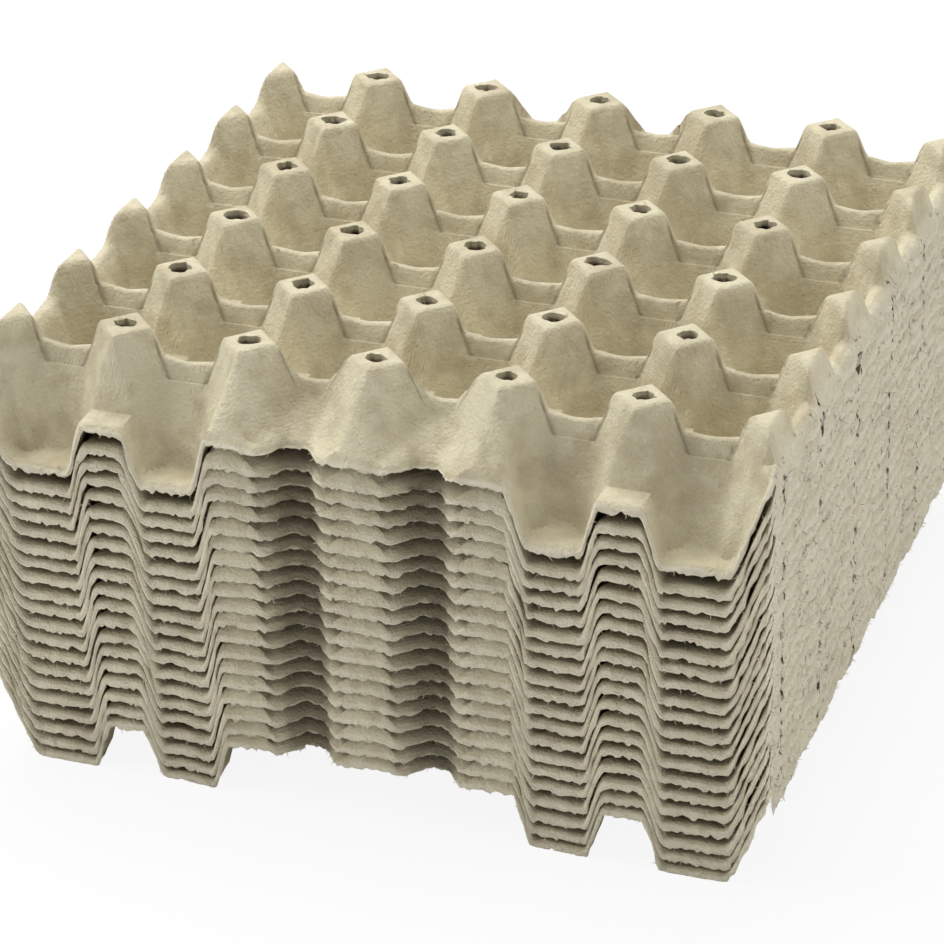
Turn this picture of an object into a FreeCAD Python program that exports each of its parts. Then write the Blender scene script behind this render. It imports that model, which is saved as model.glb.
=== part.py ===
import FreeCAD, Part

import os

# A stack of moulded pulp egg trays, in millimetres.
# The origin is on the floor under the middle of the stack. X runs along the front edge, Y to the
# back and Z up. Each tray's own zero is the underside of its cup floors.

SIZES = [
    # the grid: posts stand on the corners of a square grid and the cups lie between them
    ("cup_pitch", 48.0),
    ("cups_across", 6),
    ("post_rows", 6),
    ("end_margin", 3.0),
    ("tray_height", 49.0),
    # the pulp's thickness, upright through floors and tops and level through walls
    ("deck_gauge", 2.0),
    ("wall_gauge", 1.5),
    ("facet_gauge", 1.2),
    # posts: a diamond top, four flanks towards the cups, two narrow sides and two steep ends
    ("post_top_reach", 10.3),
    ("post_flank_draft", 19.4),
    ("post_side_draft", 20.0),
    ("post_end_draft", 10.4),
    ("vent_reach", 4.4),
    # saddles between the posts of one column
    ("saddle_height", 21.5),
    ("saddle_half_width", 8.6),
    ("saddle_draft", 16.1),
    # ribs between the posts of one row, with a step under the upright band at their top
    ("rib_height", 38.0),
    ("rib_half_width", 1.6),
    ("rib_band_draft", 8.0),
    ("rib_step_height", 30.8),
    ("rib_step_half_width", 3.5),
    ("rib_draft", 20.4),
    # rims along the left and right edges, and the skirt outside them
    ("rim_height", 37.0),
    ("rim_half_width", 2.5),
    ("rim_draft", 18.5),
    ("skirt_inset", 2.0),
    ("skirt_draft", 16.0),
    ("skirt_edge_height", 28.6),
    ("skirt_notch_height", 33.0),
    ("skirt_notch_half_width", 7.0),
    # the skirt is missing at the corners, where the rim ends on its own
    ("skirt_corner_gap", 10.0),
    # finger grips: the two middle half cups of the front and back edges are closed by a slope
    ("grip_half_width", 1.5),
    ("grip_side_draft", 38.0),
    ("grip_slope_draft", 66.6),
    # how the trays sit in each other
    ("tray_count", 20),
    ("nest_pitch", 6.4),
    ("top_tray_pitch", 8.4),
]

# how far a cutting shape runs past what it cuts
PAST = 1.0

doc = FreeCAD.newDocument("EggTrayStack")


def make_sheet():
    """Writes the driving dimensions into a spreadsheet, one alias for each."""
    table = doc.addObject("Spreadsheet::Sheet", "sizes")
    for row, (alias, value) in enumerate(SIZES, start=1):
        table.set(f"A{row}", alias)
        table.set(f"B{row}", str(value))
        table.setAlias(f"B{row}", alias)
    doc.recompute()
    return table


sheet = make_sheet()
CELLS = {alias: f"<<sizes>>.{alias}" for alias, _ in SIZES}
COLUMNS = int(sheet.get("cups_across"))
ROWS = int(sheet.get("post_rows"))
TRAYS = int(sheet.get("tray_count"))

HALF_WIDTH = "({cups_across} / 2 * {cup_pitch})"
HALF_DEPTH = "({post_rows} / 2 * {cup_pitch} + {end_margin})"
SKIRT_TOP = f"({HALF_WIDTH} - {{skirt_inset}})"


def bind(item, prop, formula):
    """Binds a property to a formula, in which {alias} stands for a cell of the spreadsheet."""
    item.setExpression(prop, formula.format(**CELLS))


def column_x(column):
    """Gives the X of a column of posts, counted from 0 at the left edge."""
    return f"({column} - {{cups_across}} / 2) * {{cup_pitch}}"


def row_y(row):
    """Gives the Y of a row of posts, counted from 0 at the front."""
    return f"({row} - ({{post_rows}} - 1) / 2) * {{cup_pitch}}"


def frustum(name, reach, draft, high, low, at=("0", "0"), turned=False):
    """Makes a block with a flat top and sides that lean outwards on the way down.

    reach is how far the top goes from its middle to the left, right, front and back, and draft
    is the lean of those four sides in degrees. high and low are its levels and at its middle.
    A turned block stands with its corners along X and Y.
    """
    block = doc.addObject("Part::Wedge", name)
    bind(block, "Ymin", low)
    bind(block, "Ymax", high)
    sides = (("Xmin", "X2min", "-"), ("Xmax", "X2max", ""), ("Zmax", "Z2max", ""), ("Zmin", "Z2min", "-"))
    for (foot_side, top_side, sign), top, angle in zip(sides, reach, draft):
        bind(block, foot_side, f"{sign}(({top}) + (({high}) - ({low})) * tan({angle}))")
        bind(block, top_side, f"{sign}({top})")
    # the block is made lying down, so its length is stood up along Z
    stand = FreeCAD.Rotation(FreeCAD.Vector(1, 0, 0), 90)
    turn = FreeCAD.Rotation(FreeCAD.Vector(0, 0, 1), 45 if turned else 0)
    block.Placement = FreeCAD.Placement(FreeCAD.Vector(0, 0, 0), turn.multiply(stand))
    bind(block, "Placement.Base.x", at[0])
    bind(block, "Placement.Base.y", at[1])
    return block


def joined(kind, name, shapes):
    """Makes a fuse or a common of several objects."""
    result = doc.addObject(kind, name)
    result.Shapes = shapes
    return result


def less(name, base, tool):
    """Makes a cut of one object from another."""
    result = doc.addObject("Part::Cut", name)
    result.Base = base
    result.Tool = tool
    return result


class Skin:
    """One face of the sheet of pulp: its upper face, or its lower face one gauge further in."""

    def __init__(self, name, lower):
        self.name = name
        self.lower = lower

    def block(self, label, reach, draft, high, gauge="{wall_gauge}", open_ends=False, **place):
        """Makes a frustum on this skin, from the sizes that it has on the upper face."""
        low = "0"
        if self.lower:
            gauges = [gauge, gauge, f"{-PAST}", f"{-PAST}"] if open_ends else [gauge] * 4
            reach = [
                f"({top}) + {{deck_gauge}} * tan({angle}) - ({inset})"
                for top, angle, inset in zip(reach, draft, gauges)
            ]
            high = f"({high}) - {{deck_gauge}}"
            low = f"{-PAST}"
        return frustum(f"{self.name}_{label}", reach, draft, high, low, **place)

    def bar(self, label, half_width, draft, high, column):
        """Makes a bar of this skin that runs from the front cut to the back cut."""
        reach = (half_width, half_width, HALF_DEPTH, HALF_DEPTH)
        place = (column_x(column), "0")
        return self.block(label, reach, (draft, draft, "0", "0"), high, open_ends=True, at=place)

    def rim(self, column):
        """Makes the rim along the left or right edge."""
        return self.bar(f"rim_{column}", "{rim_half_width}", "{rim_draft}", "{rim_height}", column)

    def saddles(self, column):
        """Makes the bar of saddles that joins one column of posts."""
        label = f"saddles_{column}"
        return self.bar(label, "{saddle_half_width}", "{saddle_draft}", "{saddle_height}", column)

    def post(self, column, row):
        """Makes a post: a pyramid with its corners along X and Y, cut off by steeper sides and ends."""
        at = (column_x(column), row_y(row))
        flanks = self.block(
            f"flanks_{column}_{row}",
            ["{post_top_reach} / sqrt(2)"] * 4,
            ["{post_flank_draft}"] * 4,
            "{tray_height}",
            at=at,
            turned=True,
        )
        ends = self.block(
            f"ends_{column}_{row}",
            ["{post_top_reach}"] * 4,
            ["{post_side_draft}"] * 2 + ["{post_end_draft}"] * 2,
            "{tray_height}",
            gauge="{facet_gauge}",
            at=at,
        )
        return joined("Part::MultiCommon", f"{self.name}_post_{column}_{row}", [flanks, ends])

    def rib(self, row):
        """Makes the foot of the rib across one row of posts, and on the upper face its band."""
        at = ("0", row_y(row))
        foot = self.block(
            f"rib_{row}",
            [HALF_WIDTH] * 2 + ["{rib_step_half_width}"] * 2,
            ["0", "0", "{rib_draft}", "{rib_draft}"],
            "{rib_step_height}",
            at=at,
        )
        if self.lower:
            return [foot]
        band = frustum(
            f"{self.name}_band_{row}",
            [HALF_WIDTH] * 2 + ["{rib_half_width}"] * 2,
            ["0", "0", "{rib_band_draft}", "{rib_band_draft}"],
            "{rib_height}",
            "{rib_step_height} - {deck_gauge} / 2",
            at=at,
        )
        return [foot, band]

    def grip(self, row, column, whole):
        """Makes the slope from the back rib down to the lip of a finger grip.

        A whole one starts at the top of the rib. In a tray with no ribs it stops at the step.
        """
        drop = "0" if whole else "({rib_height} - {rib_step_height})"
        side = f"{{grip_half_width}} + {drop} * tan({{grip_side_draft}})"
        slope = f"{{rib_half_width}} + {drop} * tan({{grip_slope_draft}})"
        root = ("{rib_half_width}", "{rib_band_draft}") if whole else ("{rib_step_half_width}", "{rib_draft}")
        return self.block(
            f"grip_{row}_{column}",
            [side, side, root[0], slope],
            ["{grip_side_draft}", "{grip_side_draft}", root[1], "{grip_slope_draft}"],
            f"{{rib_height}} - {drop}",
            at=(f"({column_x(column)} + {{cup_pitch}} / 2)", row_y(row)),
        )

    def outline(self):
        """Makes the block that the skirts and the front and back cuts bound."""
        reach = (SKIRT_TOP, SKIRT_TOP, HALF_DEPTH, HALF_DEPTH)
        draft = ("{skirt_draft}", "{skirt_draft}", "0", "0")
        return self.block("outline", reach, draft, "{tray_height}", open_ends=True)


def skin_shapes(skin, with_posts):
    """Makes all that lies under one skin in the right-hand back quarter, and what bounds it."""
    columns = range(COLUMNS // 2, COLUMNS)
    rows = range(ROWS // 2, ROWS)
    shapes = [skin.rim(COLUMNS)]
    shapes += [skin.saddles(column) for column in columns]
    shapes += [skin.grip(ROWS - 1, COLUMNS // 2, with_posts)]
    if with_posts:
        shapes += [skin.post(column, row) for column in (*columns, COLUMNS) for row in rows]
        shapes += [shape for row in rows for shape in skin.rib(row)]
    if not skin.lower:
        edge = f"{HALF_WIDTH} - {{cup_pitch}} / 4"
        reach = (edge, edge, HALF_DEPTH, HALF_DEPTH)
        shapes.append(frustum(f"{skin.name}_floors", reach, ["0"] * 4, "{deck_gauge}", "0"))
    return [joined("Part::MultiFuse", f"{skin.name}_parts", shapes), skin.outline()]


def skirt_trims(name, notched):
    """Makes the cuts that leave the right-hand skirt with its lower edge, notched between the posts."""
    outer = f"({SKIRT_TOP} + {{tray_height}} * tan({{skirt_draft}})) - {HALF_WIDTH}"
    low = f"{-PAST}"

    def trim(label, inner, half_length, y, high):
        """Makes one cut, from inner on this side of the rim's middle out past the skirt."""
        reach = (inner, outer, half_length, half_length)
        return frustum(f"{name}_{label}", reach, ["0"] * 4, high, low, at=(HALF_WIDTH, y))

    trims = [
        trim("edge", "{rim_half_width}", HALF_DEPTH, "0", "{skirt_edge_height}"),
        trim("corner", "0", "{skirt_corner_gap}", HALF_DEPTH, "{rim_height} - {deck_gauge}"),
    ]
    if notched:
        for row in range(ROWS // 2, ROWS):
            y = f"({row_y(row)} - {{cup_pitch}} / 2)"
            trims.append(trim(f"notch_{row}", "{rim_half_width}", "{skirt_notch_half_width}", y,
                              "{skirt_notch_height}"))
    return trims


def vents(name):
    """Makes the cuts for the small holes in the tops of the quarter's full posts."""
    low = "{tray_height} - {deck_gauge} - {post_top_reach} / 4"
    high = f"{{tray_height}} + {PAST}"
    return [
        frustum(
            f"{name}_vent_{column}_{row}",
            ["{vent_reach} / sqrt(2)"] * 4,
            ["0"] * 4,
            high,
            low,
            at=(column_x(column), row_y(row)),
            turned=True,
        )
        for column in range(COLUMNS // 2, COLUMNS)
        for row in range(ROWS // 2, ROWS)
    ]


def mirrored(name, source, normal):
    """Fuses an object with its mirror image in a plane through the tray's middle."""
    image = doc.addObject("Part::Mirroring", f"{name}_image")
    image.Source = source
    image.Normal = normal
    return joined("Part::MultiFuse", name, [source, image])


def tray_form(name, with_posts):
    """Makes the form of a tray. Without posts it is what still shows of a tray inside a stack."""
    quarter_box = doc.addObject("Part::Box", f"{name}_quarter_box")
    bind(quarter_box, "Length", f"{HALF_WIDTH} + {{tray_height}}")
    bind(quarter_box, "Width", f"{HALF_DEPTH} + {PAST}")
    bind(quarter_box, "Height", f"{{tray_height}} + {PAST}")
    upper = skin_shapes(Skin(f"{name}_upper", False), with_posts)
    lower = skin_shapes(Skin(f"{name}_lower", True), with_posts)
    cuts = [joined("Part::MultiCommon", f"{name}_hollow", lower)]
    cuts += skirt_trims(name, with_posts)
    if with_posts:
        cuts += vents(name)
    solid = joined("Part::MultiCommon", f"{name}_block", [*upper, quarter_box])
    quarter = less(f"{name}_quarter", solid, joined("Part::MultiFuse", f"{name}_cuts", cuts))
    half = mirrored(f"{name}_half", quarter, FreeCAD.Vector(1, 0, 0))
    whole = mirrored(f"{name}_whole", half, FreeCAD.Vector(0, 1, 0))
    whole.Refine = True
    return whole


def stacked(form, number, level):
    """Places a tray of a form in the stack, with its zero at a level."""
    tray = doc.addObject("Part::Compound", f"tray_{number:02d}")
    tray.Label = f"tray_{number:02d}"
    tray.Links = [form]
    bind(tray, "Placement.Base.z", level)
    return tray


def make_stack():
    """Makes every tray of the stack, from the bottom up."""
    inner_form = tray_form("nested_tray", False)
    top_form = tray_form("top_tray", True)
    trays = [stacked(inner_form, n, f"({n} - 1) * {{nest_pitch}}") for n in range(1, TRAYS)]
    trays.append(stacked(top_form, TRAYS, "({tray_count} - 2) * {nest_pitch} + {top_tray_pitch}"))
    return trays


def check_and_write(trays):
    """Stops on anything that failed to build, then writes each tray to its own file."""
    doc.recompute()
    for item in doc.Objects:
        if "Invalid" in item.State or "Error" in item.State:
            raise ValueError(f"{item.Label} did not build")
    os.makedirs("parts", exist_ok=True)
    for tray in trays:
        if tray.Shape.isNull() or not tray.Shape.isValid() or len(tray.Shape.Solids) != 1:
            raise ValueError(f"{tray.Label} is not one sound solid")
        tray.Shape.exportStep(f"parts/{tray.Label}.step")


check_and_write(make_stack())
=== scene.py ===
"""A stack of moulded pulp egg trays.

Each tray is one closed sheet of pulp. Its plan is triangulated in Python, then a Geometry Nodes
tree lifts the plan into floors, saddles, ribs, posts, rims and skirts by one rule, warps it and
frays its cut edges. Lengths in the sizes are millimetres, and the trees turn them into metres.
"""

import logging
import math
import random
from dataclasses import dataclass, field
from enum import Enum

import bpy
from mathutils import Matrix, Vector
from mathutils.geometry import delaunay_2d_cdt


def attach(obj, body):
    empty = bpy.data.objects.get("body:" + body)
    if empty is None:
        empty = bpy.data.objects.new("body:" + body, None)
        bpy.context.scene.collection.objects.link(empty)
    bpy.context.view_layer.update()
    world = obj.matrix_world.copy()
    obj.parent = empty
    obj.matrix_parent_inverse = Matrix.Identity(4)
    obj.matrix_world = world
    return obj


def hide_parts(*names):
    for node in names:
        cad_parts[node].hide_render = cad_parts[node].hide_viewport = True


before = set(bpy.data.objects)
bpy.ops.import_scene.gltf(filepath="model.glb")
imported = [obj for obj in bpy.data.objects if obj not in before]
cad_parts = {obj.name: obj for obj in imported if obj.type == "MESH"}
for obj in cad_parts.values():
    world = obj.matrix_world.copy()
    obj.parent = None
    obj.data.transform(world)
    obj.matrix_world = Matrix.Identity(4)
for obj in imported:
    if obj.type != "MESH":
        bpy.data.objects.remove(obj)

MM = 0.001
# where the outer part of a sheet starts to fray and to count as its outside, in mm from the middle
FRAY_START = 140.0
OUTSIDE_START = 145.0
# the light that comes from all round
WORLD_STRENGTH = 0.38
BODY = "root"

logging.basicConfig(level=logging.INFO, format="%(message)s")
log = logging.getLogger("egg_trays")


class Place(Enum):
    """Where a tray lies in the stack, which decides how finely it is made."""

    TOP = "top"
    INNER = "inner"
    SECOND = "second"
    BOTTOM = "bottom"


class Term:
    """A socket of a node tree that can be used in a Python expression."""

    def __init__(self, graph: "Graph", socket: bpy.types.NodeSocket) -> None:
        """Wraps an output socket of the graph's tree."""
        self.graph = graph
        self.socket = socket

    def __add__(self, other: "Term | float") -> "Term":
        """Adds a term or a number."""
        return self.graph.math("ADD", self, other)

    def __radd__(self, other: float) -> "Term":
        """Adds this term to a number."""
        return self.graph.math("ADD", other, self)

    def __sub__(self, other: "Term | float") -> "Term":
        """Takes a term or a number away."""
        return self.graph.math("SUBTRACT", self, other)

    def __rsub__(self, other: float) -> "Term":
        """Takes this term away from a number."""
        return self.graph.math("SUBTRACT", other, self)

    def __mul__(self, other: "Term | float") -> "Term":
        """Multiplies by a term or a number."""
        return self.graph.math("MULTIPLY", self, other)

    def __rmul__(self, other: float) -> "Term":
        """Multiplies a number by this term."""
        return self.graph.math("MULTIPLY", other, self)

    def __truediv__(self, other: "Term | float") -> "Term":
        """Divides by a term or a number."""
        return self.graph.math("DIVIDE", self, other)

    def __abs__(self) -> "Term":
        """Drops the sign."""
        return self.graph.math("ABSOLUTE", self)

    def sign(self) -> "Term":
        """Gives -1, 0 or 1."""
        return self.graph.math("SIGN", self)

    def above(self, level: "Term | float") -> "Term":
        """Gives 1 where the term is over a level, and 0 elsewhere."""
        return self.graph.math("GREATER_THAN", self, level)

    def lower_of(self, other: "Term | float", blend: "Term | float") -> "Term":
        """Gives the lower of two heights, rounded over the blend."""
        return self.graph.math("SMOOTH_MIN", self, other, blend)

    def upper_of(self, other: "Term | float", blend: "Term | float") -> "Term":
        """Gives the upper of two heights, rounded over the blend."""
        return self.graph.math("SMOOTH_MAX", self, other, blend)

    def step(self, start: float, end: float) -> "Term":
        """Rises smoothly from 0 at the start to 1 at the end."""
        return self.graph.node(
            "ShaderNodeMapRange",
            {"interpolation_type": "SMOOTHSTEP"},
            {"Value": self, "From Min": start, "From Max": end},
        )


Value = Term | float | int | str | bool | tuple | Vector | None


class Graph:
    """Makes the nodes of one tree, for geometry or for a material."""

    def __init__(self, tree: bpy.types.NodeTree) -> None:
        """Starts on a tree."""
        self.tree = tree

    def raw(
        self, kind: str, settings: dict[str, object], sockets: dict[str | int, Value]
    ) -> bpy.types.Node:
        """Makes a node, sets its settings, then fills or links its sockets.

        Args:
            kind: The node's type.
            settings: The node's own settings, among them a ramp's stops.
            sockets: Values or terms by socket name, identifier or number.

        Returns:
            The node.
        """
        made = self.tree.nodes.new(kind)
        for name, setting in settings.items():
            if name == "stops":
                self._fill_ramp(made.color_ramp, setting)
            else:
                setattr(made, name, setting)
        for key, value in sockets.items():
            socket = self._find(made.inputs, key)
            if isinstance(value, Term):
                self.tree.links.new(value.socket, socket)
            else:
                socket.default_value = value
        return made

    def node(
        self,
        kind: str,
        settings: dict[str, object] | None = None,
        sockets: dict[str | int, Value] | None = None,
        out: str | int = 0,
    ) -> Term:
        """Makes a node and gives one of its outputs.

        Args:
            kind: The node's type.
            settings: The node's own settings.
            sockets: Values or terms for its inputs.
            out: The output's name, identifier or number.

        Returns:
            The output as a term.
        """
        made = self.raw(kind, settings or {}, sockets or {})
        return Term(self, self._find(made.outputs, out))

    def math(self, operation: str, *values: Value) -> Term:
        """Makes a Math node on up to three values."""
        return self.node("ShaderNodeMath", {"operation": operation}, dict(enumerate(values)))

    def noise(self, at: Term, size: float, seed: Value = 0.0, detail: float = 2.0) -> Term:
        """Gives noise between about -0.5 and 0.5.

        Args:
            at: Where it is read, in the unit of the size.
            size: The width of one blob.
            seed: What makes one noise different from another.
            detail: How many finer layers lie on it.

        Returns:
            The noise as a term.
        """
        sockets = {"Vector": at, "W": seed, "Scale": 1.0 / size, "Detail": detail}
        return self.node("ShaderNodeTexNoise", {"noise_dimensions": "4D"}, sockets) - 0.5

    def vector(self, x: Value, y: Value, z: Value) -> Term:
        """Joins three numbers into a vector."""
        return self.node("ShaderNodeCombineXYZ", None, {"X": x, "Y": y, "Z": z})

    def split(self, vector: Term) -> tuple[Term, Term, Term]:
        """Splits a vector into its three numbers."""
        made = self.raw("ShaderNodeSeparateXYZ", {}, {"Vector": vector})
        return tuple(Term(self, made.outputs[axis]) for axis in "XYZ")

    def mix(self, amount: Value, first: Value, second: Value) -> Term:
        """Mixes two colours."""
        sockets = {"Factor_Float": amount, "A_Color": first, "B_Color": second}
        return self.node("ShaderNodeMix", {"data_type": "RGBA"}, sockets, "Result_Color")

    def _find(self, sockets: bpy.types.bpy_prop_collection, key: str | int) -> bpy.types.NodeSocket:
        """Finds a socket by number, identifier or name."""
        if isinstance(key, int):
            return sockets[key]
        for socket in sockets:
            if socket.identifier == key:
                return socket
        return sockets[key]

    def _fill_ramp(self, ramp: bpy.types.ColorRamp, stops: list[tuple[float, tuple]]) -> None:
        """Gives a colour ramp its stops."""
        while len(ramp.elements) < len(stops):
            ramp.elements.new(1.0)
        for element, (position, colour) in zip(ramp.elements, stops):
            element.position = position
            element.color = colour


@dataclass(frozen=True)
class TrayForm:
    """The sizes of a tray's form, in millimetres and degrees."""

    pitch: float = 48.0
    columns: int = 6
    rows: int = 6
    edge_x: float = 147.85
    edge_y: float = 147.0
    deck: float = 2.0
    wall: float = 1.5
    post_top: float = 49.0
    post_reach: float = 10.3
    fold_depth: float = 2.6
    flank_draft: float = 19.4
    side_draft: float = 20.0
    end_draft: float = 10.4
    vent_reach: float = 4.3
    saddle_top: float = 21.5
    saddle_half: float = 8.6
    saddle_draft: float = 16.1
    rib_top: float = 38.0
    rib_half: float = 1.8
    rib_sag: float = 1.7
    band_draft: float = 8.0
    step_top: float = 30.8
    step_half: float = 4.0
    rib_draft: float = 20.4
    rim_low: float = 35.5
    rim_rise: float = 3.0
    rim_ref: float = 37.0
    rim_inner_x: float = 141.5
    rim_draft: float = 18.5
    corner_rise: float = 5.5
    corner_shift: float = 5.9
    corner_draft: float = 20.5
    corner_edge_x: float = 147.6
    skirt_top_x: float = 142.0
    skirt_draft: float = 16.0
    skirt_low: float = 27.9
    skirt_high: float = 31.4
    grip_top: float = 32.0
    grip_slope_draft: float = 66.6
    apron_fall: float = 1.62
    apron_draft: float = 30.0
    apron_reach_x: float = 72.0
    notch_half: float = 13.0
    notch_depth: float = 9.7
    notch_start: float = 124.0
    rounding: float = 1.8
    rim_rounding: float = 4.5
    half_post_drop: float = 1.6
    cap_rounding: float = 4.2
    flank_rounding: float = 2.6

    def posts(self) -> list[tuple[float, float]]:
        """Gives the middles of the full posts."""
        xs = [(i - self.columns / 2) * self.pitch for i in range(1, self.columns)]
        ys = [(j - (self.rows - 1) / 2) * self.pitch for j in range(self.rows)]
        return [(x, y) for x in xs for y in ys]


@dataclass(frozen=True)
class Spacing:
    """How close the points of one skin lie, in millimetres.

    Args:
        step: The even spacing.
        border: How far in from the edges it holds. Further in it is doubled, then doubled again.
        close: True if the spacing is halved along ribs and post tops.
        rows: How far in from the edges the rows of points lie that follow them.
    """

    step: float
    border: float = 400.0
    close: bool = False
    rows: tuple[float, ...] = (0.5, 1.05, 1.7, 3.0)


@dataclass
class SheetPlan:
    """The plan of a tray as a closed sheet of triangles: an upper skin, a lower skin and an edge.

    Args:
        form: The tray's sizes.
        edge_step: The spacing of the points along the cut edges.
        upper: The spacing on the upper skin.
        lower: The spacing on the lower skin.
        spokes: How many corners a vent's outline has.
        seed: What shapes the vents.
        vent_scale: How large the vents are against the form's.
    """

    form: TrayForm
    edge_step: float
    upper: Spacing
    lower: Spacing
    spokes: int = 16
    seed: int = 3
    vent_scale: float = 1.0
    vents: list[tuple[float, float, list[float]]] = field(default_factory=list)

    CLEAR = 0.6
    CELL = 0.55
    APART = 0.35

    def _make_vents(self) -> None:
        """Gives every post top a hole with a torn outline of its own."""
        dice = random.Random(self.seed)
        for x, y in self.form.posts():
            size = self.form.vent_reach * self.vent_scale * dice.uniform(0.86, 1.1)
            wide = dice.uniform(0.98, 1.2)
            reach = []
            for spoke in range(self.spokes):
                angle = 2 * math.pi * spoke / self.spokes
                corner = abs(math.cos(angle)) + abs(math.sin(angle))
                long = math.hypot(math.cos(angle) * wide, math.sin(angle) / wide)
                reach.append(size * long / corner**0.2 * dice.uniform(0.8, 1.14))
            self.vents.append((x + dice.uniform(-0.7, 0.7), y + dice.uniform(-0.5, 0.5), reach))

    def _beyond_vents(self, x: float, y: float, margin: float) -> bool:
        """Tells if a point lies outside every vent's outline, by a margin."""
        turn = 2 * math.pi / self.spokes
        for vent_x, vent_y, reach in self.vents:
            dx, dy = x - vent_x, y - vent_y
            if abs(dx) > self.form.post_reach or abs(dy) > self.form.post_reach:
                continue
            low = int(math.atan2(dy, dx) / turn % self.spokes) % self.spokes
            high = (low + 1) % self.spokes
            ax, ay = reach[low] * math.cos(turn * low), reach[low] * math.sin(turn * low)
            bx, by = reach[high] * math.cos(turn * high), reach[high] * math.sin(turn * high)
            beyond = (by - ay) * (dx - ax) - (bx - ax) * (dy - ay)
            if beyond < margin * math.hypot(bx - ax, by - ay):
                return False
        return True

    def _edge_points(self) -> list[tuple[float, float]]:
        """Gives the points along the four edges, in order round the sheet."""
        across = round(2 * self.form.edge_x / self.edge_step)
        along = round(2 * self.form.edge_y / self.edge_step)
        xs = [self.form.edge_x * (2 * i / across - 1) for i in range(across)]
        ys = [self.form.edge_y * (2 * i / along - 1) for i in range(along)]
        front = [(x, -self.form.edge_y) for x in xs]
        right = [(self.form.edge_x, y) for y in ys]
        back = [(-x, self.form.edge_y) for x in xs]
        left = [(-self.form.edge_x, -y) for y in ys]
        return front + right + back + left

    def _row_points(self, rows: tuple[float, ...]) -> list[tuple[float, float]]:
        """Gives the rows of points that follow the edges on the inside."""
        points = []
        for depth in rows:
            reach_x, reach_y = self.form.edge_x - depth, self.form.edge_y - depth
            across = round(2 * reach_x / self.edge_step)
            along = round(2 * reach_y / self.edge_step)
            for side in (-1, 1):
                points += [(reach_x * (2 * i / across - 1), side * reach_y) for i in range(across + 1)]
                points += [(side * reach_x, reach_y * (2 * j / along - 1)) for j in range(1, along)]
        return points

    def _crease_lines(self) -> list[tuple[tuple[float, float], tuple[float, float]]]:
        """Gives the lines of one quarter of a post where its flanks, ends and sides meet."""
        form = self.form
        side, end = (math.tan(math.radians(a)) for a in (form.side_draft, form.end_draft))
        fall = math.tan(math.radians(form.flank_draft)) * math.sqrt(2)
        reach = form.post_reach
        lines = []
        for out in (-1.0, 0.0, 0.5, 1.1):
            lines.append(((reach + out, 0.0), (0.0, reach + out)))
        low, high = 1.0, 30.0
        head = ((fall - end) * low, reach + end * low)
        lines.append((head, ((fall - end) * high, reach + end * high)))
        low, high = 1.2, 20.0
        for off in (-0.1, 0.5, 1.1):
            foot = (reach + high * side, off + high * (fall - side))
            lines.append(((reach + low * side, off), foot))
        return lines

    def _crease_points(self) -> list[tuple[float, float]]:
        """Gives points along every post's creases, clear of its vent."""
        points = set()
        for x, y in self.form.posts():
            for (ax, ay), (bx, by) in self._crease_lines():
                count = max(1, round(math.hypot(bx - ax, by - ay) / self.edge_step))
                for i in range(count + 1):
                    px, py = ax + (bx - ax) * i / count, ay + (by - ay) * i / count
                    for sx in (-1, 1):
                        for sy in (-1, 1):
                            points.add((round(x + sx * px, 4), round(y + sy * py, 4)))
        inside = [p for p in sorted(points) if abs(p[1]) < self.form.edge_y - 4.0]
        return self._thinned([p for p in inside if self._beyond_vents(*p, 0.4)])

    def _thinned(self, points: list[tuple[float, float]]) -> list[tuple[float, float]]:
        """Leaves out each point that lies too close to one before it."""
        kept: dict[tuple[int, int], list[tuple[float, float]]] = {}
        for x, y in points:
            cell = (math.floor(x / self.APART), math.floor(y / self.APART))
            around = [(cell[0] + i, cell[1] + j) for i in (-1, 0, 1) for j in (-1, 0, 1)]
            near = [p for place in around for p in kept.get(place, [])]
            if all(math.hypot(x - a, y - b) > self.APART for a, b in near):
                kept.setdefault(cell, []).append((x, y))
        return [p for cell in kept.values() for p in cell]

    def _wanted(self, x: float, y: float) -> bool:
        """Tells if a place lies on a rib or a post top, where points lie closer."""
        half = self.form.pitch / 2
        off_x = half - abs((x + half) % self.form.pitch - half)
        off_x = half - off_x
        off_y = abs(y % self.form.pitch - half)
        return off_y < 4.8 or off_x + off_y < self.form.post_reach + 3.0

    def _lattice(self, spacing: Spacing, taken: set[tuple[int, int]]) -> list[tuple[float, float]]:
        """Gives the inner points of one skin.

        Args:
            spacing: How close they lie.
            taken: Small cells of the plan that hold a crease point already.

        Returns:
            The points.
        """
        unit = spacing.step / 2 if spacing.close else spacing.step
        across = int(self.form.edge_x / unit)
        along = int(self.form.edge_y / unit)
        points = []
        for i in range(-across, across + 1):
            for j in range(-along, along + 1):
                x, y = i * unit, j * unit
                depth = min(self.form.edge_x - abs(x), self.form.edge_y - abs(y))
                if depth < max(spacing.rows) + self.CLEAR * self.edge_step:
                    continue
                if spacing.close and (i % 2 or j % 2) and not self._wanted(x, y):
                    continue
                if depth > spacing.border and (i % 2 or j % 2):
                    continue
                if depth > 2 * spacing.border and (i % 4 or j % 4):
                    continue
                if (round(x / self.CELL), round(y / self.CELL)) in taken:
                    continue
                if self._beyond_vents(x, y, self.CLEAR * min(unit, 1.2)):
                    points.append((x, y))
        return points

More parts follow.
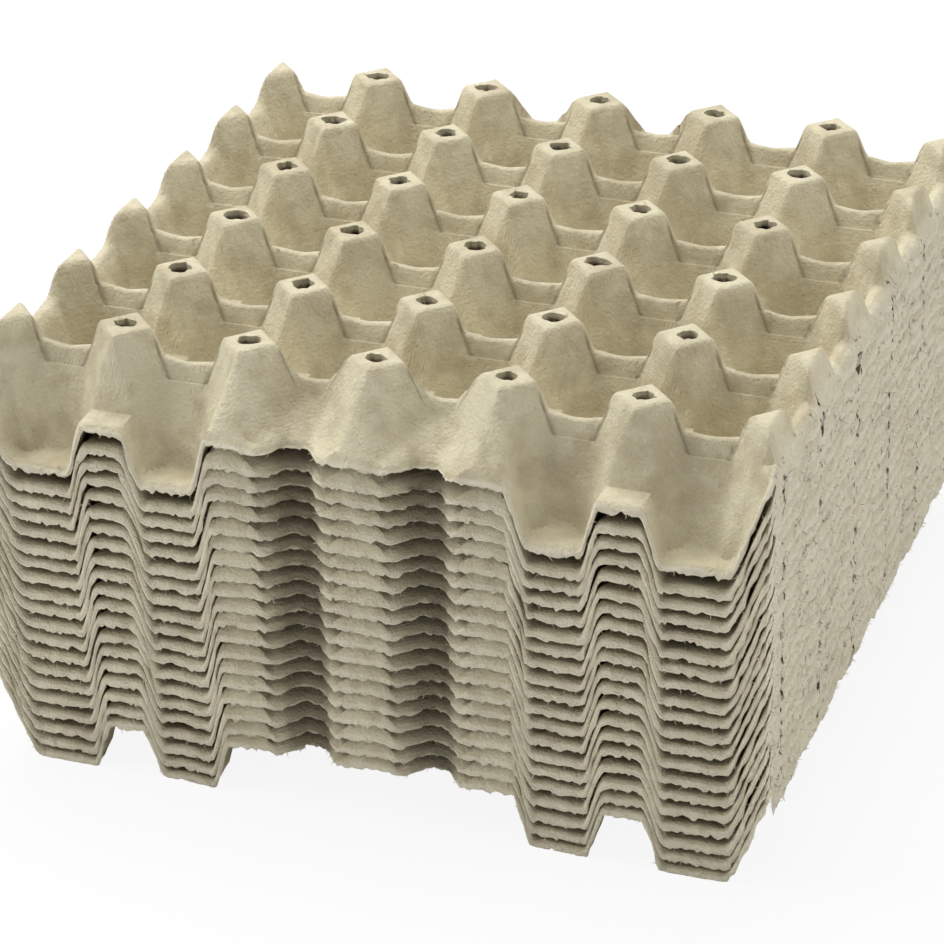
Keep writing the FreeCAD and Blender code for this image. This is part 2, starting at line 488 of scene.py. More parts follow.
    def _skin(self, spacing: Spacing) -> tuple[list[Vector], list[tuple[int, ...]]]:
        """Triangulates one skin. Its first points are the edges' and the vents', in a fixed order."""
        points = self._edge_points()
        fixed = [(i, (i + 1) % len(points)) for i in range(len(points))]
        for vent_x, vent_y, reach in self.vents:
            first = len(points)
            for spoke, length in enumerate(reach):
                angle = 2 * math.pi * spoke / self.spokes
                points.append((vent_x + length * math.cos(angle), vent_y + length * math.sin(angle)))
            fixed += [(first + i, first + (i + 1) % self.spokes) for i in range(self.spokes)]
        creases = self._crease_points() if spacing.close else []
        taken = {
            (round(x / self.CELL) + i, round(y / self.CELL) + j)
            for x, y in creases
            for i in (-1, 0, 1)
            for j in (-1, 0, 1)
            if abs(i) + abs(j) < 2
        }
        points += self._row_points(spacing.rows) + creases + self._lattice(spacing, taken)
        spots, _, faces, *_ = delaunay_2d_cdt([Vector(p) for p in points], fixed, [], 0, 1e-5)
        kept = []
        for a, b, c in faces:
            middle = (spots[a] + spots[b] + spots[c]) / 3
            if not self._beyond_vents(middle.x, middle.y, 0.0):
                continue
            kept.append((a, b, c))
        return spots, kept

    def build(self, name: str) -> bpy.types.Mesh:
        """Makes the closed sheet, still flat, with what each point needs to be lifted.

        Args:
            name: The mesh's name.

        Returns:
            The mesh. Its attribute skin is 0 above, 1 below and between them on the cut edge, and
            its attribute brink is 1 on the cut edge.
        """
        self._make_vents()
        above, upper = self._skin(self.upper)
        below, lower = self._skin(self.lower)
        sides = {(f[i], f[(i + 1) % 3]) for f in upper for i in range(3)}
        shared = len(self._edge_points()) + len(self.vents) * self.spokes
        brinks = sorted((a, b) for a, b in sides if (b, a) not in sides and max(a, b) < shared)
        count = len(above)
        edge = sorted({a for a, _ in brinks})
        middle = {a: count + len(below) + i for i, a in enumerate(edge)}
        verts = [(p.x * MM, p.y * MM, 0.0) for p in above + below]
        verts += [verts[a] for a in edge]
        faces = list(upper)
        faces += [(c + count, b + count, a + count) for a, b, c in lower]
        faces += [(b, a, middle[a], middle[b]) for a, b in brinks]
        faces += [(middle[b], middle[a], a + count, b + count) for a, b in brinks]
        mesh = bpy.data.meshes.new(name)
        mesh.from_pydata(verts, [], faces)
        skin = [0.0] * count + [1.0] * len(below) + [0.5] * len(middle)
        brink = [0.0] * (count + len(below)) + [1.0] * len(middle)
        for a in middle:
            brink[a] = brink[a + count] = 1.0
        for label, values in (("skin", skin), ("brink", brink)):
            mesh.attributes.new(label, "FLOAT", "POINT").data.foreach_set("value", values)
        mesh.update()
        return mesh


class LiftTree:
    """The Geometry Nodes tree that lifts a flat plan into a tray."""

    INPUTS = (
        ("Level", 0.0),
        ("Shift X", 0.0),
        ("Shift Y", 0.0),
        ("Seed", 0.0),
        ("Warp", 0.5),
        ("Rounding", 4.0),
        ("Fray", 1.0),
        ("Tuft density", 0.05),
    )

    def __init__(self, form: TrayForm, material: bpy.types.Material) -> None:
        """Builds the tree for a form and a material."""
        self.form = form
        self.tree = bpy.data.node_groups.new("lift_tray", "GeometryNodeTree")
        self.graph = Graph(self.tree)
        face = self.tree.interface
        face.new_socket(name="Geometry", in_out="INPUT", socket_type="NodeSocketGeometry")
        face.new_socket(name="Geometry", in_out="OUTPUT", socket_type="NodeSocketGeometry")
        for name, value in self.INPUTS:
            socket = face.new_socket(name=name, in_out="INPUT", socket_type="NodeSocketFloat")
            socket.default_value = value
        entry = self.tree.nodes.new("NodeGroupInput")
        self.given = {s.name: Term(self.graph, s) for s in entry.outputs if s.name}
        self._build(material)

    def set_inputs(self, modifier: bpy.types.NodesModifier, values: dict[str, float]) -> None:
        """Sets a modifier's inputs, each by its socket's identifier."""
        for item in self.tree.interface.items_tree:
            if item.in_out == "INPUT" and item.name in values:
                modifier[item.identifier] = values[item.name]

    def _slope(self, height: Value, over: Term, reach: Value, draft: float, inset: Term) -> Term:
        """Gives a leaning plane that is at the height at the reach, and falls further out."""
        return height - (over - reach + inset) / math.tan(math.radians(draft))

    def _rule(self, x: Term, y: Term, skin: Term) -> Term:
        """Gives the height of a skin over a place of the plan.

        Args:
            x: The place's X in millimetres.
            y: The place's Y in millimetres.
            skin: 0 on the upper skin and 1 on the lower.

        Returns:
            The height in millimetres.
        """
        form, g = self.form, self.graph
        half = form.pitch / 2
        far_x, far_y = abs(x), abs(y)
        off_x = g.math("PINGPONG", x, half)
        off_y = half - g.math("PINGPONG", y, half)
        inset = skin * form.wall
        sunk = skin * form.deck
        blend = form.rounding
        tight = form.rounding * 0.6

        diagonal = (off_x + off_y) * math.sqrt(0.5)
        diamond = form.post_reach * math.sqrt(0.5)
        flank = self._slope(form.post_top, diagonal, diamond, form.flank_draft, inset)
        side = self._slope(form.post_top, off_x, form.post_reach, form.side_draft, inset)
        end = self._slope(form.post_top, off_y, form.post_reach, form.end_draft, inset)
        post = flank.lower_of(side, form.flank_rounding).lower_of(end, form.flank_rounding)
        half_post = far_x.above(form.pitch * 2.5)
        cap = form.post_top - sunk - half_post * form.half_post_drop
        post = post.lower_of(cap, half_post * 3.0 + form.cap_rounding)
        post = post - self._fold(off_x, off_y) * (1.0 - skin) * form.fold_depth

        saddle = self._slope(form.saddle_top, off_x, form.saddle_half, form.saddle_draft, inset)
        saddle = saddle.lower_of(form.saddle_top - sunk, self.given["Rounding"]) - half_post * 60.0

        foot = self._slope(form.step_top, off_y, form.step_half, form.rib_draft, inset)
        foot = foot.lower_of(form.step_top - sunk, 0.7)
        sway = g.noise(g.vector(x, y * 0.1, 0.0), 16.0, 31.0)
        band_top = form.rib_top + 0.5 - off_x.step(9.0, 25.0) * form.rib_sag + sway * 1.6
        band = self._slope(band_top, off_y, form.rib_half, form.band_draft, skin * 30.0)
        band = band.lower_of(band_top - sunk, 7.0)

        corner = self._corner(y)
        valley = off_y.step(6.0, 18.0)
        hump = 1.0 - abs(far_y - 139.5).step(0.5, 6.5)
        rim_top = form.rim_low + form.rim_rise * (1.0 - valley) * (1.0 - corner) + hump * form.corner_rise
        lean = math.tan(math.radians(form.rim_draft))
        lean = lean - corner * (lean - math.tan(math.radians(form.corner_draft)))
        inner_x = form.rim_inner_x + corner * form.corner_shift
        rim = (form.rim_ref - (inner_x - far_x + inset) / lean).lower_of(rim_top - sunk, form.rim_rounding)

        last_row = (form.rows - 1) / 2 * form.pitch
        grip_y = far_y - last_row
        grip = self._slope(form.grip_top, grip_y, form.rib_half, form.grip_slope_draft, inset)
        behind = self._slope(form.grip_top, 0.0 - grip_y, form.rib_half, form.band_draft, inset)
        grip = grip.lower_of(behind, tight).lower_of(form.grip_top - sunk, tight)
        ridge = form.post_top - sunk - (grip_y - form.post_reach) * form.apron_fall
        apron = self._slope(form.post_top, diagonal, diamond, form.apron_draft, inset)
        apron = apron.lower_of(ridge, form.flank_rounding).lower_of(form.post_top - sunk, form.cap_rounding)
        apron = apron - far_x.above(form.apron_reach_x) * 400.0 - (1.0 - grip_y.above(0.0)) * 400.0
        grip = grip.upper_of(apron, 3.0)
        wing = self._slope(form.saddle_top, far_x, form.pitch + form.saddle_half, form.saddle_draft, inset)
        grip = grip.lower_of(wing, blend)

        height = saddle.upper_of(form.deck - sunk, 4.0)
        height = height.upper_of(foot, tight).upper_of(grip, blend).upper_of(rim, corner * 9.0 + blend)
        height = height.upper_of(band, 0.4).upper_of(post, blend)
        skirt = self._slope(form.post_top, far_x, form.skirt_top_x + corner * 6.0, form.skirt_draft, inset)
        rolled = (far_y - form.edge_y + 1.8) / 1.8
        rolled = rolled * rolled * rolled.above(0.0) * (1.0 - skin)
        return height.lower_of(skirt, form.rim_rounding) - rolled * 1.1

    def _corner(self, y: Term) -> Term:
        """Gives 1 near the front and back ends of the rims, where they rise and have no skirt."""
        return abs(y).step(133.0, 141.0)

    def _fold(self, off_x: Term, off_y: Term) -> Term:
        """Gives 1 along the folds that run down each post's corners beside the ribs."""
        form = self.form
        side, fall = (math.tan(math.radians(a)) for a in (form.side_draft, form.flank_draft))
        line = (off_x - form.post_reach) * ((fall * math.sqrt(2) - side) / side) + 0.5
        across = 1.0 - abs(off_y - line).step(0.1, 0.75)
        along = off_x.step(10.6, 11.6) * (1.0 - off_x.step(17.0, 18.5))
        return across * along

    def _notch(self, x: Term, y: Term) -> Term:
        """Gives how far the front and back edges are set back in the two finger grips."""
        form, g = self.form, self.graph
        off = abs(abs(x) - form.pitch / 2) / form.notch_half
        sockets = {"Value": abs(y), "From Min": form.notch_start, "From Max": form.edge_y}
        part = g.node("ShaderNodeMapRange", None, sockets)
        return (1.0 - off.step(0.2, 1.0)) * part * form.notch_depth

    def _skirt_x(self, x: Term, y: Term, skin: Term, ragged: Term) -> Term:
        """Draws the side edges in, so that the skirt ends on its wavy lower line."""
        form, g = self.form, self.graph
        half = form.pitch / 2
        off_y = half - g.math("PINGPONG", y, half)
        corner = self._corner(y)
        low = form.skirt_low + (form.skirt_high - form.skirt_low) * off_y.step(15.0, 22.0) + ragged
        edge = form.skirt_top_x + (form.post_top - low) * math.tan(math.radians(form.skirt_draft))
        edge = edge * (1.0 - corner) + corner * (form.corner_edge_x + ragged * 0.3)
        far = abs(x)
        part = g.node(
            "ShaderNodeMapRange", None, {"Value": far, "From Min": FRAY_START, "From Max": form.edge_x}
        )
        drawn = part * (edge - form.edge_x - skin * form.wall * (1.0 - corner))
        bulge = far.step(145.7, 146.8) * (form.edge_x - far) * (1.0 - corner) * 0.62
        return x + x.sign() * (drawn + bulge)

    def _tufts(self, sheet: Term, seed: Term) -> Term:
        """Makes the short fibres that stand out of the cut edges."""
        g = self.graph
        brink = g.node("GeometryNodeInputNamedAttribute", {"data_type": "FLOAT"}, {"Name": "brink"})
        scatter = g.raw(
            "GeometryNodeDistributePointsOnFaces",
            {},
            {"Mesh": sheet, "Selection": brink.above(0.7), "Density": self.given["Tuft density"] / (MM * MM),
             "Seed": seed},
        )
        points = Term(g, scatter.outputs["Points"])
        turn = Term(g, scatter.outputs["Rotation"])
        fibre = g.node(
            "GeometryNodeMeshCone",
            {"fill_type": "NONE"},
            {"Vertices": 3, "Side Segments": 2, "Radius Top": 0.03 * MM, "Radius Bottom": 0.14 * MM,
             "Depth": 1.6 * MM},
        )
        spin = g.node(
            "FunctionNodeRandomValue",
            {"data_type": "FLOAT_VECTOR"},
            {"Min": (-1.2, -1.2, 0.0), "Max": (1.2, 1.2, 6.28), "Seed": seed},
        )
        turned = g.node(
            "FunctionNodeRotateRotation",
            {"rotation_space": "LOCAL"},
            {"Rotation": turn, "Rotate By": g.node("FunctionNodeEulerToRotation", None, {"Euler": spin})},
        )
        size = g.node(
            "FunctionNodeRandomValue",
            {"data_type": "FLOAT"},
            {"Min_001": 0.5, "Max_001": 1.4, "Seed": seed},
            "Value_001",
        )
        placed = g.node(
            "GeometryNodeInstanceOnPoints",
            None,
            {"Points": points, "Instance": fibre, "Rotation": turned, "Scale": size},
        )
        return g.node("GeometryNodeRealizeInstances", None, {"Geometry": placed})

    def _build(self, material: bpy.types.Material) -> None:
        """Builds the tree's nodes."""
        g, given, form = self.graph, self.given, self.form
        seed = given["Seed"]
        skin = g.node("GeometryNodeInputNamedAttribute", {"data_type": "FLOAT"}, {"Name": "skin"})
        brink = g.node("GeometryNodeInputNamedAttribute", {"data_type": "FLOAT"}, {"Name": "brink"})
        place = g.node("GeometryNodeInputPosition")
        flat = g.node(
            "ShaderNodeVectorMath", {"operation": "SCALE"}, {"Vector": place, "Scale": 1 / MM}
        )
        x, y, _ = g.split(flat)
        fray = brink * given["Fray"]
        ragged = g.noise(flat, 4.0, seed, 3.0) * 3.4
        height = self._rule(x, y, skin)
        outside = g.node(
            "ShaderNodeMapRange",
            None,
            {"Value": abs(x), "From Min": OUTSIDE_START, "From Max": form.edge_x},
        )
        flakes = g.noise(flat, 7.0, seed + 20.0, 3.0) * 2.8 + brink * 0.1
        side_x = self._skirt_x(x, y, skin, ragged) + x.sign() * outside * flakes
        strays = g.noise(flat, 3.2, seed + 31.0, 3.0) * (skin + 0.5) * 3.4
        side_x = side_x + fray * strays * abs(y).above(form.edge_y - 0.05) * (1.0 - outside)
        slow = g.noise(flat, 70.0, seed * 0.37) * 2.0
        lumps = g.noise(flat, 13.0, 2.0) * 0.9
        height = height + (slow + lumps * 0.6) * given["Warp"]
        torn = g.noise(flat, 5.0, seed + 9.0, 3.0)
        bite = g.noise(flat, 30.0, seed + 4.0)
        border = abs(y).step(form.edge_y - 3.0, form.edge_y)
        teeth = g.noise(flat, 2.2, seed + 5.0, 3.0) * 5.5 + torn * 3.0 + 1.4
        height = height + border * torn * 2.2 + fray * torn * 0.6 - fray * skin * teeth
        near_end = abs(y).step(form.edge_y - 9.0, form.edge_y) * (1.0 - abs(x).step(128.0, 134.0))
        height = height + near_end * g.noise(flat, 20.0, seed + 6.0) * 4.4
        at_end = abs(y).above(form.edge_y - 0.05) * fray
        lip = g.noise(flat, 2.5, seed + 2.0, 3.0) * 1.4 + (0.5 - abs(skin - 0.5)) * 1.2
        out_y = y.sign() * (at_end * lip + border * bite * 2.6 - self._notch(x, y))
        spot = g.vector(
            (side_x + given["Shift X"]) * MM,
            (y + out_y + given["Shift Y"]) * MM,
            (height + given["Level"]) * MM,
        )
        lifted = g.node(
            "GeometryNodeSetPosition", None, {"Geometry": given["Geometry"], "Position": spot}
        )
        crease = g.node("GeometryNodeInputMeshEdgeAngle").above(math.radians(50))
        off_x = g.math("PINGPONG", x, form.pitch / 2)
        off_y = form.pitch / 2 - g.math("PINGPONG", y, form.pitch / 2)
        packed = 1.0 - self._notch(x, y * 0.0 + form.edge_y) / (form.edge_y - form.notch_start)
        depth = (form.edge_y - abs(y)) * packed
        outer = g.math("MAXIMUM", abs(x).step(142.0, 144.5), 1.0 - depth.step(1.5, 8.5))
        marked = lifted
        # fold carries the post folds to the material, which paints shade along them; outer marks the trays'
        # outer parts
        for label, value in (("fold", self._fold(off_x, off_y)), ("outer", outer)):
            marked = g.node(
                "GeometryNodeStoreNamedAttribute",
                {"data_type": "FLOAT", "domain": "POINT"},
                {"Geometry": marked, "Name": label, "Value": value},
            )
        smooth = g.node(
            "GeometryNodeSetShadeSmooth", {"domain": "FACE"}, {"Geometry": marked, "Shade Smooth": True}
        )
        sharp = g.node(
            "GeometryNodeSetShadeSmooth",
            {"domain": "EDGE"},
            {"Geometry": smooth, "Selection": crease, "Shade Smooth": False},
        )
        tufts = self._tufts(sharp, g.math("MULTIPLY", seed, 7.0))
        join = self.tree.nodes.new("GeometryNodeJoinGeometry")
        for part in (tufts, sharp):
            self.tree.links.new(part.socket, join.inputs[0])
        real = g.node("GeometryNodeRealizeInstances", None, {"Geometry": Term(g, join.outputs[0])})
        done = g.node("GeometryNodeSetMaterial", None, {"Geometry": real, "Material": material})
        end = self.tree.nodes.new("NodeGroupOutput")
        self.tree.links.new(done.socket, end.inputs[0])


@dataclass(frozen=True)
class PulpFinish:
    """Grey-beige moulded pulp: its colours, among them painted shade for folds, covered skins, cracks and
    pits, and how wide its grain is in millimetres.
    """

    body: tuple[float, float, float, float] = (0.70, 0.64, 0.46, 1.0)
    pale: tuple[float, float, float, float] = (0.80, 0.75, 0.61, 1.0)
    dull: tuple[float, float, float, float] = (0.56, 0.495, 0.34, 1.0)
    fibre: tuple[float, float, float, float] = (0.84, 0.79, 0.66, 1.0)
    # dark specks in the pulp; also painted shade in the cracks of the layered sides
    speck_and_crack_shade: tuple[float, float, float, float] = (0.17, 0.13, 0.085, 1.0)
    # painted shade colour, laid along the post folds and on the skins between trays
    depth: tuple[float, float, float, float] = (0.11, 0.08, 0.048, 1.0)
    # painted shade: near-black laid into the small pits of the layered sides
    pit_shade: tuple[float, float, float, float] = (0.05, 0.036, 0.022, 1.0)
    cloud: float = 28.0
    grain: float = 1.1
    mesh: float = 1.3

    def make(self, name: str) -> bpy.types.Material:
        """Makes the material.

        Args:
            name: The material's name.

        Returns:
            The material.
        """
        material = bpy.data.materials.new(name)
        material.use_nodes = True
        tree = material.node_tree
        tree.nodes.clear()
        g = Graph(tree)
        coords = g.node("ShaderNodeTexCoord", None, None, "Object")
        at = g.node("ShaderNodeVectorMath", {"operation": "SCALE"}, {"Vector": coords, "Scale": 1 / MM})
        clouds = g.noise(at, self.cloud, 1.0, 3.0) + g.noise(at, 7.0, 2.0, 3.0) * 0.7
        colour = g.mix((clouds * 2.0 + 0.55).step(0.15, 0.85), self.dull, self.body)
        blotch = g.noise(at, 2.6, 3.0, 4.0)
        colour = g.mix((blotch * 2.0).step(0.1, 0.7) * 0.6, colour, self.pale)
        colour = g.mix(g.noise(at, 0.9, 15.0, 3.0).step(0.0, 0.3) * 0.4, colour, self.dull)
        hairs = g.node(
            "ShaderNodeTexVoronoi",
            {"feature": "DISTANCE_TO_EDGE"},
            {"Vector": self._stretched(g, at), "Scale": 0.9},
        )
        strand = 1.0 - hairs.step(0.0, 0.06)
        colour = g.mix(strand * g.noise(at, 9.0, 5.0).step(-0.05, 0.2) * 0.35, colour, self.fibre)
        dots = g.node("ShaderNodeTexVoronoi", {"feature": "F1"}, {"Vector": at, "Scale": 0.42})
        spot = (1.0 - dots.step(0.05, 0.13)) * g.noise(at, 6.0, 6.0).step(0.0, 0.12)
        colour = g.mix(spot * 0.7, colour, self.speck_and_crack_shade)
        x, y, z = g.split(at)
        side = abs(x).step(144.6, 146.4) * (1.0 - abs(y).step(144.5, 146.0))
        colour = g.mix(side * 0.45, colour, self.pale)
        cracks, pits = self._cracks(g, y, z), self._pits(g, y, z)
        # painted shade in the cracks of the layered sides
        colour = g.mix(side * cracks * 0.7, colour, self.speck_and_crack_shade)
        # painted shade in the pits of the layered sides
        colour = g.mix(side * pits * 0.97, colour, self.pit_shade)
        outer = g.node("ShaderNodeAttribute", {"attribute_name": "outer"}, None, "Fac")
        brink = g.node("ShaderNodeAttribute", {"attribute_name": "brink"}, None, "Fac")
        colour = g.mix(brink.step(0.2, 1.0) * outer * 0.5, colour, self.fibre)
        # painted shade: darker colour along the post folds, where shade falls in the crease
        fold = g.node("ShaderNodeAttribute", {"attribute_name": "fold"}, None, "Fac")
        colour = g.mix(fold * z.step(20.0, 160.0) * 0.45, colour, self.depth)
        # painted shade: skins that lie between two trays are darkened nearly to the depth colour, as shade
        # falls on them in the gaps and vents
        covered = g.node("ShaderNodeAttribute", {"attribute_name": "covered"}, None, "Fac")
        colour = g.mix(covered * (1.0 - outer) * 0.92, colour, self.depth)

        fine = g.noise(at, self.grain, 7.0, 4.0)
        imprint = self._imprint(g, at)
        patch = g.noise(at, 24.0, 16.0, 1.0).step(-0.08, 0.2)
        relief = fine * 1.7 + g.noise(at, 4.0, 8.0, 3.0) * 1.5 + imprint * patch * 0.2 + strand * 0.12
        relief = relief - side * (cracks * 1.0 + pits * 2.5) + side * g.noise(at, 4.0, 13.0, 4.0) * 4.5
        bump = g.node("ShaderNodeBump", None, {"Strength": 0.95, "Distance": 0.55 * MM, "Height": relief})
        shader = g.raw(
            "ShaderNodeBsdfPrincipled",
            {},
            {"Base Color": colour, "Roughness": 0.93, "Specular IOR Level": 0.22, "Normal": bump},
        )
        out = tree.nodes.new("ShaderNodeOutputMaterial")
        tree.links.new(shader.outputs[0], out.inputs["Surface"])
        return material

    def _stretched(self, g: Graph, at: Term) -> Term:
        """Bends and stretches the pattern of strands, so that they lie like fibres."""
        x, y, z = g.split(at)
        sway = g.noise(at, 5.0, 11.0, 2.0) * 6.0
        return g.vector(x * 0.35 + sway, y * 1.0 + sway, z * 0.6 - sway)

    def _cracks(self, g: Graph, y: Term, z: Term) -> Term:
        """Makes the mask of the short thin cracks in the layered sides, 1 where they are; the cracks are
        dented in the bump and painted dark as shade.
        """
        at = g.vector(0.0, y, z)
        bend = g.noise(at, 6.0, 41.0, 3.0) * 7.0
        net = g.node(
            "ShaderNodeTexVoronoi",
            {"feature": "DISTANCE_TO_EDGE"},
            {"Vector": g.vector(0.0, y + bend, z * 0.8 - bend), "Scale": 0.2},
        )
        line = 1.0 - net.step(0.0, 0.04)
        return line * g.noise(at, 5.0, 42.0, 2.0).step(0.05, 0.11)

    def _pits(self, g: Graph, y: Term, z: Term) -> Term:
        """Makes the mask of the small holes in the sides, most of them in a column beside each post row;
        they are dented in the bump and painted dark as shade.
        """
        at = g.vector(0.0, y, z * 0.7)
        column = g.math("PINGPONG", y + g.noise(at, 20.0, 43.0) * 6.0 - 16.0, 24.0)
        near = (1.0 - column.step(0.6, 4.0)) * 0.2
        seam = (1.0 - abs(z - 151.0).step(1.0, 5.0)) * (1.0 - column.step(4.0, 14.0)) * 0.16
        return (g.noise(at, 3.0, 44.0, 2.0) + near + seam).step(0.26, 0.3)

    def _imprint(self, g: Graph, at: Term) -> Term:
        """Makes the faint weave that the forming mesh leaves."""
        x, y, z = g.split(at)
        wave = 2 * math.pi / self.mesh
        first = g.math("SINE", (x + z * 0.5) * wave)
        second = g.math("SINE", (y + z * 0.5) * wave)
        return first * second


@dataclass
class TrayStack:
    """The whole stack: twenty trays, each dressed over its own CAD node.

    Args:
        finish: The pulp's finish.
    """

    finish: PulpFinish
    form: TrayForm = field(default_factory=TrayForm)
    count: int = 20
    nest: float = 6.4
    top_gap: float = 8.4
    seed: int = 12
    plans: dict[Place, bpy.types.Mesh] = field(default_factory=dict)

    # how far each tray lies above or below its even place, from the bottom up, as the photo shows
    UNEVEN = (
        0.0, -0.2, -0.3, -0.1, 0.1, 0.0, -0.3, 0.1, 0.2, -0.1,
        0.2, -0.2, 0.3, 0.0, -0.3, 0.2, 0.4, 0.2, 0.0, 0.0,
    )

    def place_of(self, number: int) -> Place:
        """Tells where a tray lies, counted from 1 at the bottom."""
        if number == self.count:
            return Place.TOP
        if number == self.count - 1:
            return Place.SECOND
        return Place.BOTTOM if number == 1 else Place.INNER

    def _plan(self, place: Place) -> bpy.types.Mesh:
        """Gives the flat sheet for a place in the stack, made once."""
        if place not in self.plans:
            plain = Spacing(3.0, rows=(1.3,))
            grids = {
                Place.TOP: SheetPlan(self.form, 1.0, Spacing(1.6, close=True), plain),
                Place.SECOND: SheetPlan(self.form, 1.1, Spacing(3.0), plain, 16, 5, 1.15),
                Place.BOTTOM: SheetPlan(
                    self.form, 1.1, Spacing(3.0), Spacing(2.5, rows=(1.3,)), seed=6
                ),
                Place.INNER: SheetPlan(
                    self.form, 1.2, Spacing(2.4, 4.0), Spacing(2.6, 3.4, rows=(1.3,)), 8, 7, 1.1
                ),
            }
            self.plans[place] = grids[place].build(f"plan_{place.value}")
        return self.plans[place]

    def level(self, number: int) -> float:
        """Gives the height of a tray's zero over the floor, in millimetres."""
        even = (number - 1) * self.nest + (self.top_gap - self.nest if number == self.count else 0.0)
        return even + self.UNEVEN[number - 1]

    def build(self) -> list[bpy.types.Object]:
        """Makes every tray and dresses its node.

        Returns:
            The trays, from the bottom up.
        """
        pulp = self.finish.make("moulded_pulp")
        lift = LiftTree(self.form, pulp)
        dice = random.Random(self.seed)
        trays = []
        for number in range(1, self.count + 1):
            place = self.place_of(number)
            edge_tray = number in (1, self.count)
            values = {
                "Level": self.level(number) + (0.6 if number == 1 else 0.0),
                "Shift X": 0.0 if edge_tray else dice.uniform(-0.3, 0.3),
                "Shift Y": 0.0 if edge_tray else dice.uniform(-0.3, 0.3),
                "Seed": float(number),
                "Warp": 0.55,
                "Rounding": 4.0 if number == self.count else 8.0,
                "Fray": 1.0,
                "Tuft density": 0.12,
            }
            trays.append(self._dress(number, self._plan(place), lift, values))
        return trays

    def _covered(self, number: int, skin: float) -> float:
        """Tells with 1 if a skin lies between two trays, where only gaps and vents show it and the material
        paints shade on it.
        """
        above = number < self.count and skin < 0.4
        below = number > 1 and skin > 0.6
        return float(above or below)

    def _dress(
        self, number: int, plan: bpy.types.Mesh, lift: LiftTree, values: dict[str, float]
    ) -> bpy.types.Object:
        """Lifts one tray and puts it in the place of its node."""
        name = f"pulp_tray_{number:02d}"
        flat = bpy.data.objects.new(f"{name}_flat", plan)
        bpy.context.scene.collection.objects.link(flat)
        modifier = flat.modifiers.new("lift", "NODES")
        modifier.node_group = lift.tree
        lift.set_inputs(modifier, values)
        seen = flat.evaluated_get(bpy.context.evaluated_depsgraph_get())
        mesh = bpy.data.meshes.new_from_object(seen)
        mesh.name = name
        # covered marks the skins on which the material paints shade
        covered = [self._covered(number, entry.value) for entry in mesh.attributes["skin"].data]
        mesh.attributes.new("covered", "FLOAT", "POINT").data.foreach_set("value", covered)
        bpy.data.objects.remove(flat)
        tray = bpy.data.objects.new(name, mesh)
        bpy.context.scene.collection.objects.link(tray)
        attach(tray, BODY)
        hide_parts(f"tray_{number:02d}")
        corners = [v.co.z for v in mesh.vertices]
        low, high = min(corners) / MM, max(corners) / MM
        log.info("%s: %d faces, z %.1f to %.1f mm", name, len(mesh.polygons), low, high)
        return tray


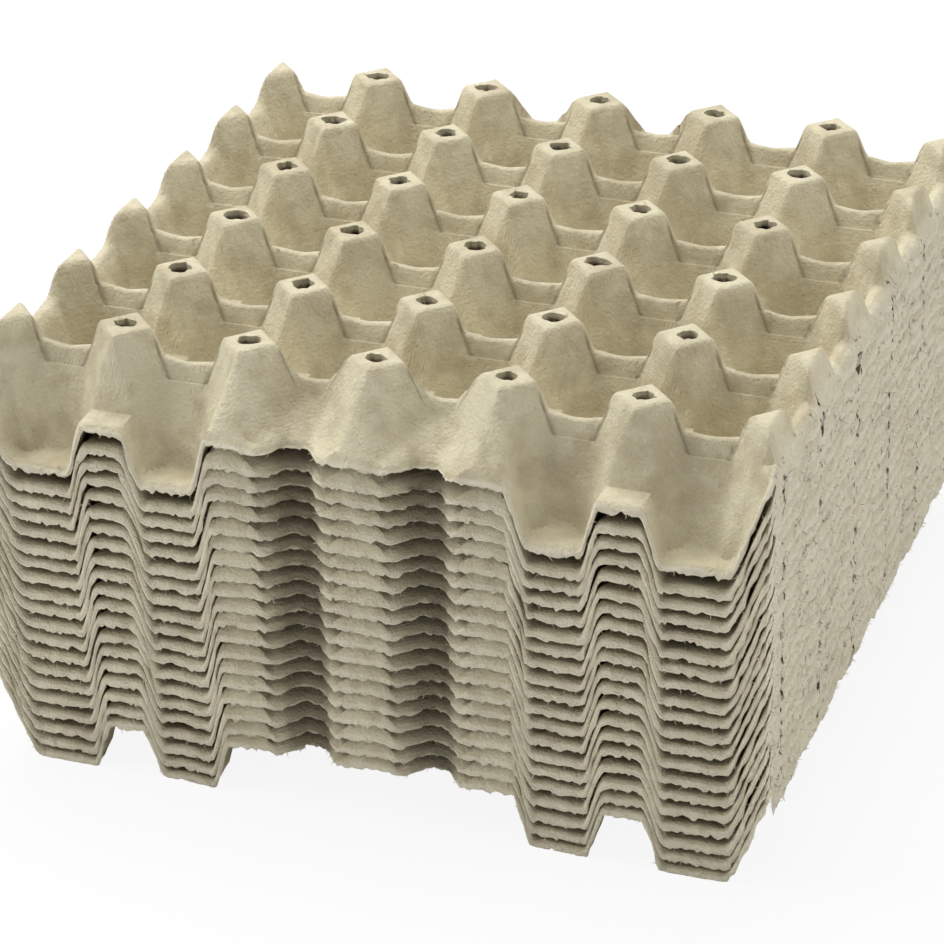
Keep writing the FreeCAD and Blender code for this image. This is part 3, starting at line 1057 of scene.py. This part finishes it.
@dataclass(frozen=True)
class Studio:
    """The floor, the lamps, the background and the camera.

    The camera's turn and place come from a fit to the post tops in the photo. They are measured
    from the post tops in the middle of the top tray, whose height over the floor is post_level.
    """

    turn: tuple[float, float, float] = (2.0493, 0.34970, -0.25130)
    away: tuple[float, float, float] = (9.3408, -94.1624, 1280.6708)
    focal_px: float = 3433.4
    photo_px: float = 944.0
    post_level: float = 172.6
    sensor: float = 36.0

    def camera(self) -> bpy.types.Object:
        """Makes the camera at the photo's viewpoint."""
        data = bpy.data.cameras.new("camera")
        data.sensor_width = self.sensor
        data.lens = self.focal_px / self.photo_px * self.sensor
        data.clip_start, data.clip_end = 0.05, 50.0
        spin = Vector(self.turn)
        view = Matrix.Rotation(spin.length, 3, spin.normalized())
        place = view.transposed() @ -Vector(self.away) + Vector((0.0, 0.0, self.post_level))
        axes = Matrix((view[0], -view[1], -view[2])).transposed()
        camera = bpy.data.objects.new("camera", data)
        camera.matrix_world = Matrix.Translation(place * MM) @ axes.to_4x4()
        bpy.context.scene.collection.objects.link(camera)
        bpy.context.scene.camera = camera
        return camera

    def lamp(self, name: str, at: tuple[float, float, float], size: float, power: float) -> None:
        """Makes a square soft lamp that faces the stack."""
        data = bpy.data.lights.new(name, "AREA")
        data.shape = "SQUARE"
        data.size = size
        data.energy = power
        lamp = bpy.data.objects.new(name, data)
        lamp.location = at
        lamp.rotation_mode = "QUATERNION"
        lamp.rotation_quaternion = (Vector((0.0, 0.0, 0.1)) - Vector(at)).to_track_quat("-Z", "Y")
        bpy.context.scene.collection.objects.link(lamp)

    def floor(self) -> bpy.types.Object:
        """Makes the pale floor, which keeps the stack's shadow."""
        mesh = bpy.data.meshes.new("floor")
        reach = 8.0
        corners = [(-reach, -reach, 0), (reach, -reach, 0), (reach, reach, 0), (-reach, reach, 0)]
        mesh.from_pydata(corners, [], [(0, 1, 2, 3)])
        floor = bpy.data.objects.new("floor", mesh)
        bpy.context.scene.collection.objects.link(floor)
        material = bpy.data.materials.new("pale_floor")
        material.use_nodes = True
        tree = material.node_tree
        tree.nodes.clear()
        g = Graph(tree)
        matt = g.node("ShaderNodeBsdfDiffuse", None, {"Color": (0.86, 0.86, 0.86, 1.0)})
        white = g.node("ShaderNodeEmission", None, {"Color": (1.0, 1.0, 1.0, 1.0), "Strength": 1.0})
        seen = g.node("ShaderNodeLightPath", None, None, "Is Camera Ray")
        surface = g.node("ShaderNodeMixShader", None, {0: seen * 0.9, 1: matt, 2: white})
        out = tree.nodes.new("ShaderNodeOutputMaterial")
        tree.links.new(surface.socket, out.inputs["Surface"])
        mesh.materials.append(material)
        return floor

    def sky(self) -> None:
        """Makes the world: white to the camera, and a weaker even light on the stack."""
        world = bpy.data.worlds.new("studio")
        bpy.context.scene.world = world
        world.use_nodes = True
        tree = world.node_tree
        tree.nodes.clear()
        g = Graph(tree)
        path = g.raw("ShaderNodeLightPath", {}, {})
        shown = g.math(
            "MAXIMUM", Term(g, path.outputs["Is Camera Ray"]), Term(g, path.outputs["Is Glossy Ray"])
        )
        plain = g.node(
            "ShaderNodeBackground", None, {"Color": (1.0, 0.99, 0.97, 1.0), "Strength": WORLD_STRENGTH}
        )
        white = g.node("ShaderNodeBackground", None, {"Color": (1.0, 1.0, 1.0, 1.0), "Strength": 1.0})
        surface = g.node("ShaderNodeMixShader", None, {0: shown, 1: plain, 2: white})
        out = tree.nodes.new("ShaderNodeOutputWorld")
        tree.links.new(surface.socket, out.inputs["Surface"])

    def build(self) -> None:
        """Sets the whole studio up."""
        scene = bpy.context.scene
        scene.view_settings.view_transform = "Standard"
        self.camera()
        self.floor()
        self.sky()
        self.lamp("lamp_above", (-0.3, 0.5, 1.7), 1.2, 24.0)
        self.lamp("lamp_right", (1.6, -0.1, 0.8), 0.9, 6.0)
        self.lamp("lamp_left", (-1.4, -0.5, 1.0), 0.9, 12.0)


def main() -> None:
    """Builds the studio and the stack."""
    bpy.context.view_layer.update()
    Studio().build()
    trays = TrayStack(PulpFinish()).build()
    log.info("trays: %d, faces: %d", len(trays), sum(len(tray.data.polygons) for tray in trays))


if __name__ == "__main__":
    main()
